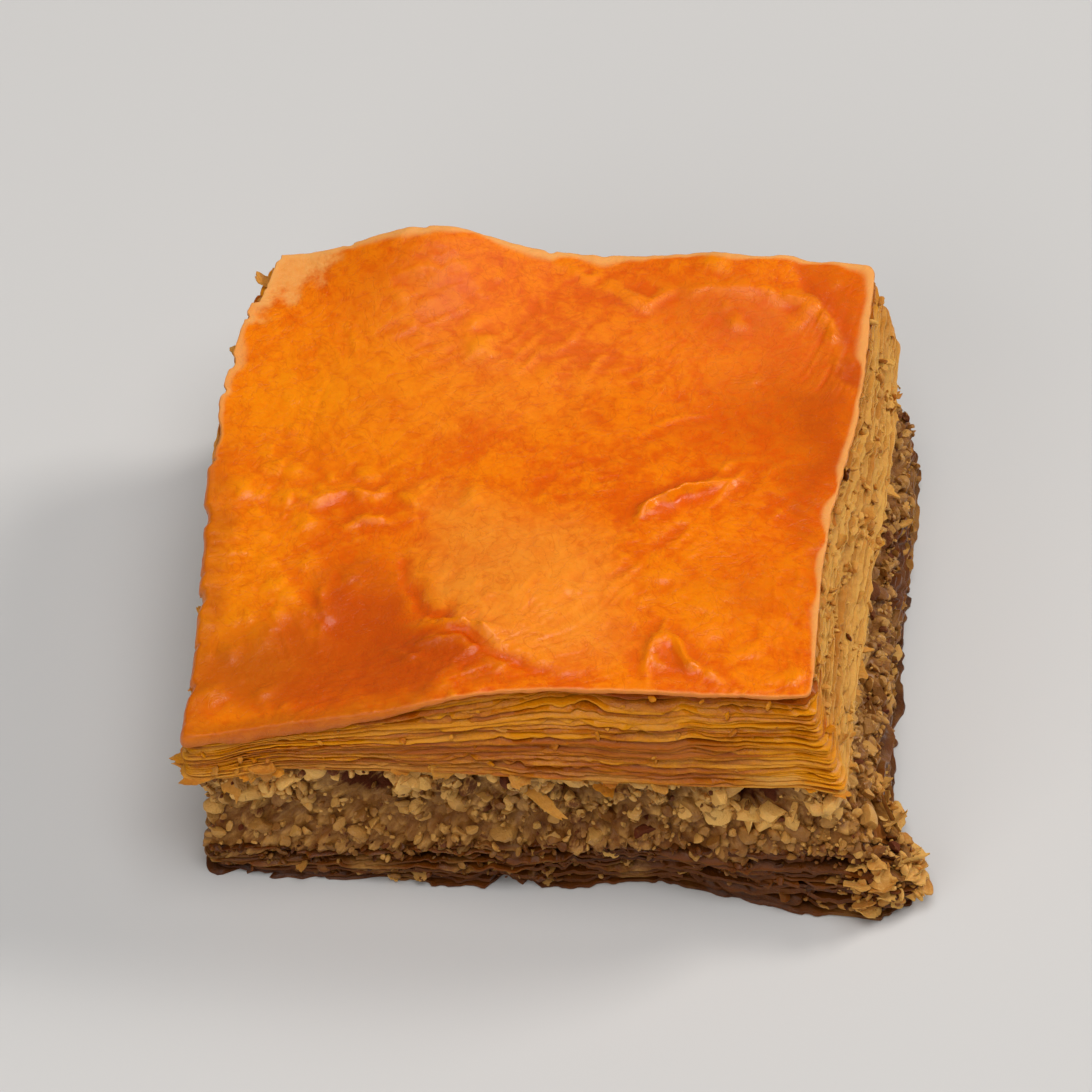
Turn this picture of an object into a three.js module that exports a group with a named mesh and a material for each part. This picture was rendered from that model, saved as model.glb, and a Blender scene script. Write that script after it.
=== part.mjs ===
// A square piece of baklava as it is cut from the tray: a tall stack of browned filo on a layer of chopped nuts,
// on a thinner stack of syrup-soaked filo. Millimetres, +Z up, the front of the piece faces -Y,
// and the origin is at the middle of the bounding box's bottom face.
import * as THREE from "three";
import { mergeVertices } from "three/addons/utils/BufferGeometryUtils.js";

// The cut isn't plumb: the foot reaches further right than the crust, and the crust leans out on the left.
// Corners run front left, front right, back right, back left.
const footCorners = [
  [-24.6, -21.6],
  [25.1, -21.9],
  [24.7, 22.8],
  [-22.8, 22.6],
];
const crustCorners = [
  [-26.4, -22.6],
  [19.8, -19.4],
  [21.2, 23.3],
  [-24.6, 22.4],
];
const crustHeights = [16.0, 22.4, 22.4, 19.0];
const bottomSeams = [3.0, 6.8, 4.8, 3.6]; // between the lower filo and the nuts
const topSeams = [11.4, 13.2, 12.5, 11.5]; // between the nuts and the upper filo
const fullHeight = 22; // where the walls reach the crust's corners
const seamGap = 0.3; // what the three solids keep between them
const seamWave = 0.45;

const leafRelief = 0.2; // how far the filo edges step in and out at the cut
const leafFlare = 0.5; // how far the upper stack's lowest leaves stand out past its crust
const nutRelief = 0.45; // how lumpy the cut nuts are
const nutRecess = 0.8; // how far the nuts sit back under the upper filo
const wallWave = 0.25; // how far a cut wall wanders from straight

const columns = 22; // steps along each side
const wallShare = 8; // power that keeps the wall's relief near the wall

// Domes and hollows of the crust: place in -1..1, radius in the same units, and height in millimetres.
const crustSwells = [
  { u: -0.47, v: 1.0, radius: 0.27, height: 3.8 },
  { u: 0.58, v: 1.0, radius: 0.26, height: 0.8 },
  { u: 0.0, v: -0.95, radius: 0.62, height: 1.9 },
  { u: 0.05, v: 0.0, radius: 0.75, height: 1.2 },
  { u: -0.5, v: 0.35, radius: 0.4, height: 0.6 },
  { u: -0.4, v: -0.66, radius: 0.24, height: -0.6 },
  { u: 0.75, v: 0.45, radius: 0.3, height: -0.5 },
];

// Where a cut wall bows out, or in where the depth is negative: its side, place and radius along it in -1..1,
// and the level and spread up it and the depth in millimetres.
const wallBows = [
  { side: "left", place: 0.25, radius: 0.75, level: 16, spread: 12, depth: 1.9 },
  { side: "front", place: 0.05, radius: 0.6, level: 22, spread: 5, depth: -1.3 },
  { side: "front", place: 0.38, radius: 0.3, level: 0, spread: 5, depth: -2.2 },
  { side: "right", place: -0.3, radius: 0.5, level: 22, spread: 6, depth: -0.9 },
  { side: "right", place: -0.35, radius: 0.4, level: 6, spread: 6, depth: 0.7 },
  { side: "back", place: -0.45, radius: 0.3, level: 22, spread: 6, depth: 0.4 },
];

// The frayed tongue of lower filo that lies out at the front right corner.
const tongueReach = 4.0;
const tonguePlace = -0.88;
const tongueWidth = 0.13;
const tongueLevel = 3.2; // where up the wall it reaches furthest
const tongueSpread = 2.4;

const colours = { crust: 0xe67a14, nuts: 0xa87a48, soaked: 0x9a5a1e };

const mix = THREE.MathUtils.lerp;
const bell = (distance) => Math.exp(-distance * distance);

// Blends four corner values over the piece, where u and v run from -1 to 1.
function acrossCorners(values, u, v) {
  const front = mix(values[0], values[1], (1 + u) / 2);
  const back = mix(values[3], values[2], (1 + u) / 2);
  return mix(front, back, (1 + v) / 2);
}

function crustHeight(u, v) {
  const swell = (sum, s) => sum + s.height * bell(Math.hypot(u - s.u, v - s.v) / s.radius);
  return crustSwells.reduce(swell, acrossCorners(crustHeights, u, v));
}

const seamShape = (u, v) => seamWave * Math.sin(3.1 * u + 1.2 * v) * Math.cos(2.3 * v - 0.8 * u);
const bottomSeamHeight = (u, v) => acrossCorners(bottomSeams, u, v) + 0.7 * seamShape(v, u);
const topSeamHeight = (u, v) => acrossCorners(topSeams, u, v) + seamShape(u, v);

// How far a wall stands out from the plane of the cut at a place along it, before the layer's own relief.
function wallShape(side, along, height) {
  const bow = (sum, b) =>
    b.side === side ? sum + b.depth * bell((along - b.place) / b.radius) * bell((height - b.level) / b.spread) : sum;
  return wallBows.reduce(bow, wallWave * Math.sin(3.4 * along + 0.12 * height + side.length));
}

const leafSteps = (along, row) => (row % 2 ? leafRelief : -leafRelief) * (1 + 0.6 * Math.sin(5 * along + row));
const nutLumps = (along, row) => nutRelief * Math.sin(9 * along + 2.1 * row) * Math.cos(4 * along - 1.3 * row);

function tongue(u, v, height) {
  const reach = tongueReach * bell((height - tongueLevel) / tongueSpread);
  return Math.max(0, u) ** wallShare * reach * bell((v - tonguePlace) / tongueWidth);
}

// The plan position of a point of the block at a height, pushed out of the walls by what stands there.
function planPoint(u, v, height, standX, standY) {
  const rise = height / fullHeight;
  const at = (axis) => {
    const foot = acrossCorners(footCorners.map((c) => c[axis]), u, v);
    const crust = acrossCorners(crustCorners.map((c) => c[axis]), u, v);
    return mix(foot, crust, rise);
  };
  const nearWall = (w) => Math.sign(w) * Math.abs(w) ** wallShare;
  return [at(0) + nearWall(u) * standX, at(1) + nearWall(v) * standY];
}

// One layer: a block of little cells, each corner of which is moved to where the cut food has it.
function layerGeometry({ rows, floor, roof, stand, relief, extra }) {
  const block = new THREE.BoxGeometry(2, 2, 1, columns, columns, rows);
  block.deleteAttribute("normal");
  block.deleteAttribute("uv");
  const geometry = mergeVertices(block);
  const points = geometry.getAttribute("position");
  for (let i = 0; i < points.count; i++) {
    const u = points.getX(i);
    const v = points.getY(i);
    const share = points.getZ(i) + 0.5;
    const row = Math.round(share * rows);
    const height = mix(floor(u, v), roof(u, v), share);
    const standX = stand(share) + wallShape(u < 0 ? "left" : "right", v, height) + relief(v, row);
    const standY = stand(share) + wallShape(v < 0 ? "front" : "back", u, height) + relief(u + 2, row);
    const [x, y] = planPoint(u, v, height, standX, standY);
    points.setXYZ(i, x + extra(u, v, height), y, height);
  }
  geometry.computeVertexNormals();
  return geometry;
}

function layerMesh(name, color, roughness, shape) {
  const material = new THREE.MeshStandardMaterial({ color, roughness, metalness: 0 });
  const mesh = new THREE.Mesh(layerGeometry(shape), material);
  mesh.name = name;
  return mesh;
}

const none = () => 0;
const halfGap = seamGap / 2;

const layers = [
  layerMesh("bottom_pastry", colours.soaked, 0.45, {
    rows: 4,
    floor: none,
    roof: (u, v) => bottomSeamHeight(u, v) - halfGap,
    stand: none,
    relief: leafSteps,
    extra: tongue,
  }),
  layerMesh("nut_filling", colours.nuts, 0.8, {
    rows: 5,
    floor: (u, v) => bottomSeamHeight(u, v) + halfGap,
    roof: (u, v) => topSeamHeight(u, v) - halfGap,
    stand: () => -nutRecess,
    relief: nutLumps,
    extra: none,
  }),
  layerMesh("top_pastry", colours.crust, 0.3, {
    rows: 9,
    floor: (u, v) => topSeamHeight(u, v) + halfGap,
    roof: crustHeight,
    stand: (share) => leafFlare * (1 - share),
    relief: leafSteps,
    extra: none,
  }),
];

const baklava = new THREE.Group();
baklava.name = "baklava_piece";
baklava.add(...layers);

// Moves every layer so that the bounding box's bottom middle is the origin.
const bounds = new THREE.Box3().setFromObject(baklava, true);
const middle = bounds.getCenter(new THREE.Vector3());
for (const layer of layers) layer.geometry.translate(-middle.x, -middle.y, -bounds.min.z);

export default baklava;
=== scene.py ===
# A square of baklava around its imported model: a glossy, blistered crust on a tall stack of thin
# pastry leaves, a layer of chopped nuts, and a thinner stack of leaves soaked in syrup.
# Shapes are reckoned in millimetres and go into the scene in metres.
import math

import bmesh
import bpy
import numpy as np
from mathutils import Matrix, Quaternion, Vector
from mathutils.bvhtree import BVHTree


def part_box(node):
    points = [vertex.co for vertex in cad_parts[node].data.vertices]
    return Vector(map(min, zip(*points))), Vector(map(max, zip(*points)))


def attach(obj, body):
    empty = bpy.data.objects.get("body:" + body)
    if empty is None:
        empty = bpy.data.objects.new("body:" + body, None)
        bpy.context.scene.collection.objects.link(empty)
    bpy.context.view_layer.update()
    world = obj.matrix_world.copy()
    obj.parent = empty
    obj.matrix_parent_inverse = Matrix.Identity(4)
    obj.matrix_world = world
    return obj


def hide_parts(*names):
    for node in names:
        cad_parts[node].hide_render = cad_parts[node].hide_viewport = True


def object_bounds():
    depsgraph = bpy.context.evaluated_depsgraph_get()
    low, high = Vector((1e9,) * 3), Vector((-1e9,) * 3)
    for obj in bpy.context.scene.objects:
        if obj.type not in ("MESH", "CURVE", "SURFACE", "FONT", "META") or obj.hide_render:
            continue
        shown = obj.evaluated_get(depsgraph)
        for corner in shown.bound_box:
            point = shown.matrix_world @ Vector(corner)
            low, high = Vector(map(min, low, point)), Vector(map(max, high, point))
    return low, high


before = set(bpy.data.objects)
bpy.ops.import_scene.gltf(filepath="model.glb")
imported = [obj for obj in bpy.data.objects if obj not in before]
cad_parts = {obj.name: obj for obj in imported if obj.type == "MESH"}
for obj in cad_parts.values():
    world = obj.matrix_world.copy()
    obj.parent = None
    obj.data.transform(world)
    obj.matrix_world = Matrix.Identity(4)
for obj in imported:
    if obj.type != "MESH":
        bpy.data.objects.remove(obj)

mm = 0.001
cadBox = [list(corner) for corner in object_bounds()]

camera = dict(place=(45.2, -493.0, 601.2), aim=(-2.2, -0.4, 14.0), lens=340)


def makeCamera():
    made = bpy.data.objects.new("camera", bpy.data.cameras.new("camera"))
    bpy.context.scene.collection.objects.link(made)
    made.location = Vector(camera["place"]) * mm
    look = Vector(camera["aim"]) * mm - made.location
    made.rotation_euler = look.to_track_quat("-Z", "Y").to_euler()
    made.data.lens = camera["lens"]
    made.data.sensor_width = 36
    made.data.clip_start = 0.01
    bpy.context.scene.camera = made


makeCamera()
print("camera: set")

noiseTable = np.random.default_rng(11).uniform(-1, 1, 1 << 16)
np.seterr(over="ignore")  # the lattice's whole numbers wrap round on purpose


def lattice(i, j, k):  # a number from -1 to 1 for each place with whole coordinates, the same each run
    mixed = i * 374761393 + j * 668265263 + k * 1440662683
    mixed = (mixed ^ (mixed >> 13)) * 1274126177
    return noiseTable[(mixed ^ (mixed >> 16)) & 0xFFFF]


def noise(x, y, z=0.0):  # smooth, from -1 to 1, about one swell for each unit
    x, y, z = np.broadcast_arrays(x, y, z)
    cells = [np.floor(c).astype(np.int64) for c in (x, y, z)]
    fx, fy, fz = (c - cell for c, cell in zip((x, y, z), cells))
    fx, fy, fz = (f * f * f * (f * (f * 6 - 15) + 10) for f in (fx, fy, fz))
    total = 0
    for di in (0, 1):
        for dj in (0, 1):
            for dk in (0, 1):
                share = (fx if di else 1 - fx) * (fy if dj else 1 - fy) * (fz if dk else 1 - fz)
                total = total + share * lattice(cells[0] + di, cells[1] + dj, cells[2] + dk)
    return total


def swell(x, y, size, seed):  # noise over a plan, with swells of that size
    return noise(x / size, y / size, seed)


def rough(x, y, z=0.0, octaves=3):  # noise with finer noise on it
    total, share, size = 0, 1.0, 1.0
    for octave in range(octaves):
        total = total + share * noise(x * size + 7.3 * octave, y * size, z * size + 3.1 * octave)
        share, size = share * 0.5, size * 2.03
    return total


def grains(x, y, z, size):
    # rounded grains that fill space: how proud each place stands, and its grain's own number
    x, y, z = x / size, y / size, z / size
    cells = [np.floor(c).astype(np.int64) for c in (x, y, z)]
    nearest = second = np.full(np.shape(x), 9.0)
    own = np.zeros(np.shape(x))
    for step in np.ndindex(3, 3, 3):
        i, j, k = (cell + s - 1 for cell, s in zip(cells, step))
        middles = (c + 0.5 + 0.42 * lattice(i, j, k + 1000 * n) for n, c in enumerate((i, j, k)))
        distance = np.sqrt(sum((c - middle) ** 2 for c, middle in zip((x, y, z), middles)))
        own = np.where(distance < nearest, lattice(i, j, k + 5000), own)
        second = np.minimum(second, np.maximum(distance, nearest))
        nearest = np.minimum(distance, nearest)
    dome = np.sqrt(np.maximum(0, 1 - (nearest / 0.85) ** 2))
    return ease(0, 0.32, second - nearest) * (0.5 + 0.5 * dome), (own + 1) / 2


def ease(low, high, value):
    t = np.clip((value - low) / (high - low), 0, 1)
    return t * t * (3 - 2 * t)


def bell(distance):
    return np.exp(-distance * distance)


def bellWeights(spread, reach):  # for a blur: how much each neighbour counts, that many steps each way
    weights = np.exp(-0.5 * (np.arange(-reach, reach + 1) / spread) ** 2)
    return weights / weights.sum()


walls = dict(  # the cut sides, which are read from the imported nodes
    columns=660,  # round the piece
    half=(25.2, 22.6),  # half of the piece's plan, which sets where the four sides meet
    levels=(0.06, 0.18, 0.3, 0.42, 0.54, 0.66, 0.78, 0.9),  # shares of a layer's height that are measured
    blur=2.0,  # columns, to take the facets out
    bulge=1.5,  # mm that the nuts rise at the front
)


def turnToPlan(turn):  # 0 to 4 round the square: front, right, back, left
    side = np.floor(turn).astype(int) % 4
    w = (turn % 1) * 2 - 1
    u = np.choose(side, [w, 1 + 0 * w, -w, -1 + 0 * w])
    v = np.choose(side, [-1 + 0 * w, w, 1 + 0 * w, -w])
    return u, v


def planToTurn(u, v):
    rho = np.maximum(np.maximum(np.abs(u), np.abs(v)), 1e-9)
    a, b = u / rho, v / rho
    turn = np.where(b <= -1 + 1e-9, (a + 1) / 2, 0)
    turn = np.where(a >= 1 - 1e-9, 1 + (b + 1) / 2, turn)
    turn = np.where((b >= 1 - 1e-9) & (a < 1 - 1e-9), 2 + (1 - a) / 2, turn)
    turn = np.where((a <= -1 + 1e-9) & (b > -1 + 1e-9), 3 + (1 - b) / 2, turn)
    return turn % 4, rho


def turnOf(x, y):  # the turn of a place in plan
    return planToTurn(x / walls["half"][0], y / walls["half"][1])[0]


def bearing(turn):  # unit vectors from the middle towards that place on the wall
    u, v = turnToPlan(turn)
    x, y = u * walls["half"][0], v * walls["half"][1]
    length = np.hypot(x, y)
    return x / length, y / length


def standAt(turn, out, z):  # the place that far out from the middle, at that height
    dx, dy = bearing(turn)
    return np.stack(np.broadcast_arrays(dx * out, dy * out, z), -1)


def around(values, turn):  # a value given per column, anywhere round the piece
    count = values.shape[-1]
    at = (turn % 4) / 4 * count
    low = np.floor(at).astype(int)
    share = at - low
    return values[..., low % count] * (1 - share) + values[..., (low + 1) % count] * share


def blurRound(values, spread):
    reach = int(3 * spread) + 1
    weights = bellWeights(spread, reach)
    return sum(w * np.roll(values, o, axis=-1) for w, o in zip(weights, range(-reach, reach + 1)))


def perSide(turn, front, right, back, left, blend=0.1):  # a value for each side, blended at the corners
    value = front
    for corner, following in enumerate((right, back, left, front), 1):
        value = value + (following - value) * ease(corner - blend, corner + blend, turn)
    return value + (left - value) * (1 - ease(-blend, blend, turn))


turns = np.arange(walls["columns"]) * 4 / walls["columns"]
dirX, dirY = bearing(turns)


class Layer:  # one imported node's wall: how far out it stands, and its floor and roof, for each column
    def __init__(self, node, start):  # start is the share of the node's height where the search sets out
        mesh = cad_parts[node].data
        corners, sides = [v.co for v in mesh.vertices], [p.vertices[:] for p in mesh.polygons]
        self.tree = BVHTree.FromPolygons(corners, sides)
        self.low, self.high = (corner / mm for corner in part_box(node))
        count = walls["columns"]
        self.floor, self.roof = np.zeros(count), np.zeros(count)
        out = np.zeros((len(walls["levels"]), count))
        for i, (x, y) in enumerate(zip(dirX, dirY)):
            over = under = self.wallAt(x, y, self.low.z + start * (self.high.z - self.low.z)) - 3
            for _ in range(5):  # the roof and the floor near the wall, and the wall near them
                over = self.wallAt(x, y, self.above(x * over, y * over) - 0.7) - 0.6
                under = self.wallAt(x, y, self.below(x * under, y * under) + 0.7) - 0.6
            self.roof[i] = self.above(x * over, y * over)
            self.floor[i] = self.below(x * under, y * under)
            for row, share in enumerate(walls["levels"]):
                out[row, i] = self.wallAt(x, y, self.floor[i] + share * (self.roof[i] - self.floor[i]))
        self.floor = blurRound(self.floor, walls["blur"])
        self.roof = blurRound(self.roof, walls["blur"])
        bend = np.polyfit(walls["levels"], out, 2)  # a plain curve up the wall, without the node's steps
        self.bend = blurRound(bend, walls["blur"])

    def cast(self, start, direction):
        return self.tree.ray_cast(Vector(start) * mm, Vector(direction))[0] / mm

    def wallAt(self, x, y, z):
        hit = self.cast((x * 60, y * 60, z), (-x, -y, 0))
        return math.hypot(hit.x, hit.y)

    def above(self, x, y):
        return self.cast((x, y, self.high.z + 5), (0, 0, -1)).z

    def below(self, x, y):
        return self.cast((x, y, self.low.z - 5), (0, 0, 1)).z

    def reach(self, share, turn=None):  # how far out the wall stands at a share of the layer's height
        a, b, c = self.bend if turn is None else around(self.bend, turn)
        return (a * share + b) * share + c

    def span(self, turn):
        return around(self.floor, turn), around(self.roof, turn)


topLayer = Layer("top_pastry", 0.35)
nutLayer = Layer("nut_filling", 0.5)
footLayer = Layer("bottom_pastry", 0.35)
# the nuts bulge up at the front, where the cut shows more of them
nutBulge = walls["bulge"] * ease(0.0, 0.14, turns) * ease(0.97, 0.88, turns)
nutBulge = nutBulge * (0.9 + 0.3 * noise(turns * 8, 0, 4.5))
nutLayer.roof += nutBulge
topLayer.floor += nutBulge
print("walls: read from the frame")


def gridFaces(near, far):  # quads between a grid of point numbers and the same grid one step on
    return np.stack([near[:-1], far[:-1], far[1:], near[1:]], -1).reshape(-1, 4)


def bandFaces(first, second):  # quads between two closed rings of points
    return np.stack([first, second, np.roll(second, -1), np.roll(first, -1)], -1)


def rimOf(index):  # the numbers of the points round the edge of a grid
    return np.concatenate([index[:-1, 0], index[-1, :-1], index[:0:-1, -1], index[0, :0:-1]])


def makePiece(name, points, faces, material, attributes=None, sharp=None):
    # points are in millimetres, faces are a list of arrays, and attributes have a value for each point
    mesh = bpy.data.meshes.new(name)
    mesh.from_pydata((points * mm).tolist(), [], [face for some in faces for face in some.tolist()])
    for key, values in (attributes or {}).items():
        made = mesh.attributes.new(key, "FLOAT", "POINT")
        made.data.foreach_set("value", np.asarray(values, np.float32).ravel())
    mesh.shade_smooth()
    if sharp is not None:
        mesh.set_sharp_from_angle(angle=math.radians(sharp))
    mesh.materials.append(material)
    piece = bpy.data.objects.new(name, mesh)
    bpy.context.scene.collection.objects.link(piece)
    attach(piece, "root")
    return piece


def operator(operation, swapped=False):
    def reckon(wire, other):
        first, second = (other, wire) if swapped else (wire, other)
        return wire.paint.add("ShaderNodeMath", {"operation": operation}, {0: first, 1: second})
    return reckon


class Wire:  # a shader socket that can be reckoned with as a number
    def __init__(self, paint, socket):
        self.paint = paint
        self.socket = socket

    __add__ = operator("ADD")
    __radd__ = operator("ADD", True)
    __sub__ = operator("SUBTRACT")
    __rsub__ = operator("SUBTRACT", True)
    __mul__ = operator("MULTIPLY")
    __rmul__ = operator("MULTIPLY", True)


class Paint:  # a material and the nodes that it is mixed from
    def __init__(self, name):
        self.material = bpy.data.materials.new(name)
        self.material.use_nodes = True
        self.tree = self.material.node_tree
        self.shader = self.tree.nodes["Principled BSDF"]

    def add(self, kind, settings=None, inputs=None, output=0):
        node = self.tree.nodes.new(kind)
        for key, value in (settings or {}).items():
            setattr(node, key, value)
        for key, value in (inputs or {}).items():
            self.join(node.inputs[key], value)
        return Wire(self, node.outputs[output])

    def join(self, socket, value):
        if isinstance(value, Wire):
            self.tree.links.new(value.socket, socket)
        elif socket.type == "RGBA":
            socket.default_value = (*value, 1)
        else:
            socket.default_value = value

    def set(self, **values):  # the shader's own sockets, by their names without spaces
        for key, value in values.items():
            self.join(next(s for s in self.shader.inputs if s.name.replace(" ", "") == key), value)

    def place(self):  # object coordinates, in millimetres
        where = self.add("ShaderNodeTexCoord", output="Object")
        return self.add("ShaderNodeVectorMath", {"operation": "SCALE"}, {"Vector": where, "Scale": 1 / mm})

    def stretch(self, where, factors):
        return self.add("ShaderNodeVectorMath", {"operation": "MULTIPLY"}, {0: where, 1: factors})

    def attribute(self, name):
        return self.add("ShaderNodeAttribute", {"attribute_name": name}, output="Fac")

    def speckle(self, where, scale, detail=4, roughness=0.55, warp=0.0):
        values = {"Vector": where, "Scale": scale, "Detail": detail}
        values.update({"Roughness": roughness, "Distortion": warp})
        return self.add("ShaderNodeTexNoise", {}, values, output="Fac")

    def line(self, value, width):  # 1 where a noise crosses its middle, which draws thin wandering lines
        away = self.add("ShaderNodeMath", {"operation": "ABSOLUTE"}, {0: value - 0.5})
        return 1 - self.step(away, 0.0, width)

    def step(self, value, low, high):  # 0 below low, 1 above high, and smooth between
        inputs = {"Value": value, "From Min": low, "From Max": high}
        return self.add("ShaderNodeMapRange", {"interpolation_type": "SMOOTHSTEP"}, inputs)

    def blend(self, share, first, second):
        return self.add("ShaderNodeMix", {"data_type": "RGBA"}, {0: share, 6: first, 7: second}, output=2)

    def bump(self, height, depth):  # height from 0 to 1, depth in millimetres
        return self.add("ShaderNodeBump", {}, {"Height": height, "Distance": depth * mm, "Strength": 1.0})


def colour(red, green, blue):  # 0 to 255 as seen on a screen, to the linear light that shaders use
    def linear(value):
        value /= 255
        return value / 12.92 if value <= 0.04045 else ((value + 0.055) / 1.055) ** 2.4
    return tuple(linear(value) for value in (red, green, blue))


crust = dict(
    cells=(280, 258),
    thickness=0.42,
    overhang=0.12,
    drape=0.6,  # how far it hangs over the wall at the low front left corner
    blisters=dict(count=125, size=(0.24, 1.04), steep=(0.2, 0.4)),
    blur=1.1,  # mm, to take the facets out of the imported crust
    settle=0.1,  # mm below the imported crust, which makes room for the relief
    ragged=(0.0, 0.1, 0.4, 1.0),  # how chipped the edge is at the front, right, back and left
    rimWidth=(0.12, 0.6, 0.55, 0.6),  # mm, of the pale line along the edge, which is pale cut pastry with painted rim light
    # how pale that line is on each side: the pastry's own paleness, raised at the back and right as painted
    # rim light
    rimPale=(0.35, 0.85, 0.9, 0.7),
    # from the rim outwards in mm and down: as a plain cut edge, and where it hangs over the wall
    cutEdge=[(0.06, 0.05), (0.1, 0.35), (0.08, 0.75), (0.02, 1.0), (-0.2, 1.05), (-0.8, 1.3), (-3.0, 1.8)],
    hungEdge=[(0.16, 0.1), (0.29, 0.27), (0.38, 0.55), (0.42, 1.0), (0.22, 1.06), (-0.2, 0.6), (-3.0, 0.6)],
    creases=[(0.1, 1.5, 21), (0.05, 0.7, 51), (0.03, 0.4, 81)],  # depth, size and seed
    # folds of the top leaf: points in plan, how high and how wide
    folds=[
        dict(path=[(5.0, -4.4), (6.3, -2.0), (9.4, -0.9), (12.2, 0.6)], height=0.8, width=0.55),
        dict(path=[(-10.9, -13.2), (-8.6, -14.2), (-6.2, -14.9), (-4.0, -16.4)], height=0.85, width=0.55),
        dict(path=[(-10.4, -15.6), (-8.0, -15.9), (-5.6, -17.0)], height=0.55, width=0.4),
        dict(path=[(-12.6, -15.8), (-11.2, -16.8), (-9.0, -17.6)], height=0.35, width=0.4),
        dict(path=[(7.4, -18.7), (7.3, -16.4), (7.7, -14.2)], height=0.6, width=0.45),
        dict(path=[(7.9, -14.4), (9.4, -16.3), (12.1, -18.7)], height=0.65, width=0.5),
        dict(path=[(-20.8, -2.2), (-17.0, -0.6), (-14.9, -1.2), (-13.2, -0.6)], height=0.45, width=0.5),
        dict(path=[(-17.6, -3.9), (-15.6, -3.1), (-13.0, -4.2)], height=0.35, width=0.45),
        dict(
            path=[(-4.4, 21.4), (-1.2, 20.4), (2.2, 18.0), (3.6, 17.5), (5.2, 19.2)],
            height=0.4, width=0.6),
        dict(
            path=[(5.2, 19.0), (10.5, 19.6), (15.2, 18.9), (18.0, 15.6), (18.7, 11.0)],
            height=0.4, width=0.7),
        dict(path=[(-18.4, -9.0), (-17.6, -12.4), (-17.2, -15.6)], height=0.3, width=0.5),
    ],
    # the air-filled dome in the front half, as an outline
    pillow=[
        (-12.3, -0.9), (-12.2, -5.5), (-11.0, -9.0), (-9.8, -12.0), (-6.6, -14.6), (-3.4, -17.3),
        (0.6, -18.9), (4.6, -18.4), (6.4, -15.0), (6.1, -10.3), (4.0, -5.6), (0.0, -3.0),
        (-6.0, -1.0), (-9.8, 0.6)],
    # the corner where the top leaf has flaked off
    peel=[
        (-27.0, 25.0), (-20.4, 25.0), (-20.6, 21.8), (-21.4, 19.4), (-22.8, 17.6), (-24.6, 16.4),
        (-27.5, 16.0)],
    # the facet at the back right, which lies lower
    facet=[(13.4, 25.0), (15.4, 19.8), (18.4, 16.0), (19.0, 11.0), (23.0, 10.0), (23.5, 25.0)],
    # soft spots: how strong, the middle in plan, and how wide each way
    humps=[(0.5, -2.5, -9.5, 9, 8), (-0.45, -14.5, -13.5, 4.5, 4.0), (-0.25, 13, 8, 6, 7)],
    calm=[(0.6, -4, 19, 9, 5), (0.6, 13, 13, 7, 6)],  # fewer creases
    pale=[(0.35, -7, 9, 9, 6)],
    toast=[
        (1.15, -15.0, -12.8, 4.6, 5.0), (1.0, -9.0, -17.4, 6.0, 2.2), (0.45, 13.5, 8.5, 8, 8),
        (0.55, 18, 2, 2.4, 13), (0.25, -18, -3, 3.5, 3), (0.35, 8.5, 17.5, 8, 3), (0.35, 8.5, -17.6, 3, 2),
        (0.3, -14, 18, 6, 4), (0.85, -21, -18, 7, 3.6), (0.35, 12, -10, 5, 5)],
    yellow=[(0.7, -25, -12, 5, 9), (0.75, -19, 9, 7, 7), (0.4, 11, -11, 6, 5)],
    matte=[(1.4, -5, 16.5, 10, 7), (0.9, 13, 14, 7, 6)],
    browned=[(0.65, -23, -16.5, 5, 4)],
    blistered=[(1.0, -23, -8, 4.5, 10), (0.3, -15, -2, 6, 3.5)],
)


def lineDistance(x, y, path):  # to a line through points, and how far along it from 0 to 1
    best = np.full(np.shape(x), 1e9)
    along = np.zeros(np.shape(x))
    for i, ((ax, ay), (bx, by)) in enumerate(zip(path[:-1], path[1:])):
        length = (bx - ax) ** 2 + (by - ay) ** 2
        t = np.clip(((x - ax) * (bx - ax) + (y - ay) * (by - ay)) / length, 0, 1)
        distance = np.hypot(x - ax - t * (bx - ax), y - ay - t * (by - ay))
        near = distance < best
        best = np.where(near, distance, best)
        along = np.where(near, (i + t) / (len(path) - 1), along)
    return best, along


def depthInside(x, y, outline, fray, size):  # positive inside the outline, whose line wanders
    x, y = x + fray * swell(x, y, size, 31), y + fray * swell(x, y, size, 37)
    loop = outline + outline[:1]
    distance, _ = lineDistance(x, y, loop)
    inside = np.zeros(np.shape(x), bool)
    for (ax, ay), (bx, by) in zip(loop[:-1], loop[1:]):
        crosses = (ay > y) != (by > y)
        inside ^= crosses & (x < (bx - ax) * (y - ay) / (by - ay + 1e-12) + ax)
    return np.where(inside, distance, -distance)


def spots(x, y, rows):  # the sum of soft spots
    return sum(much * bell(np.hypot((x - cx) / wide, (y - cy) / deep)) for much, cx, cy, wide, deep in rows)


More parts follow.
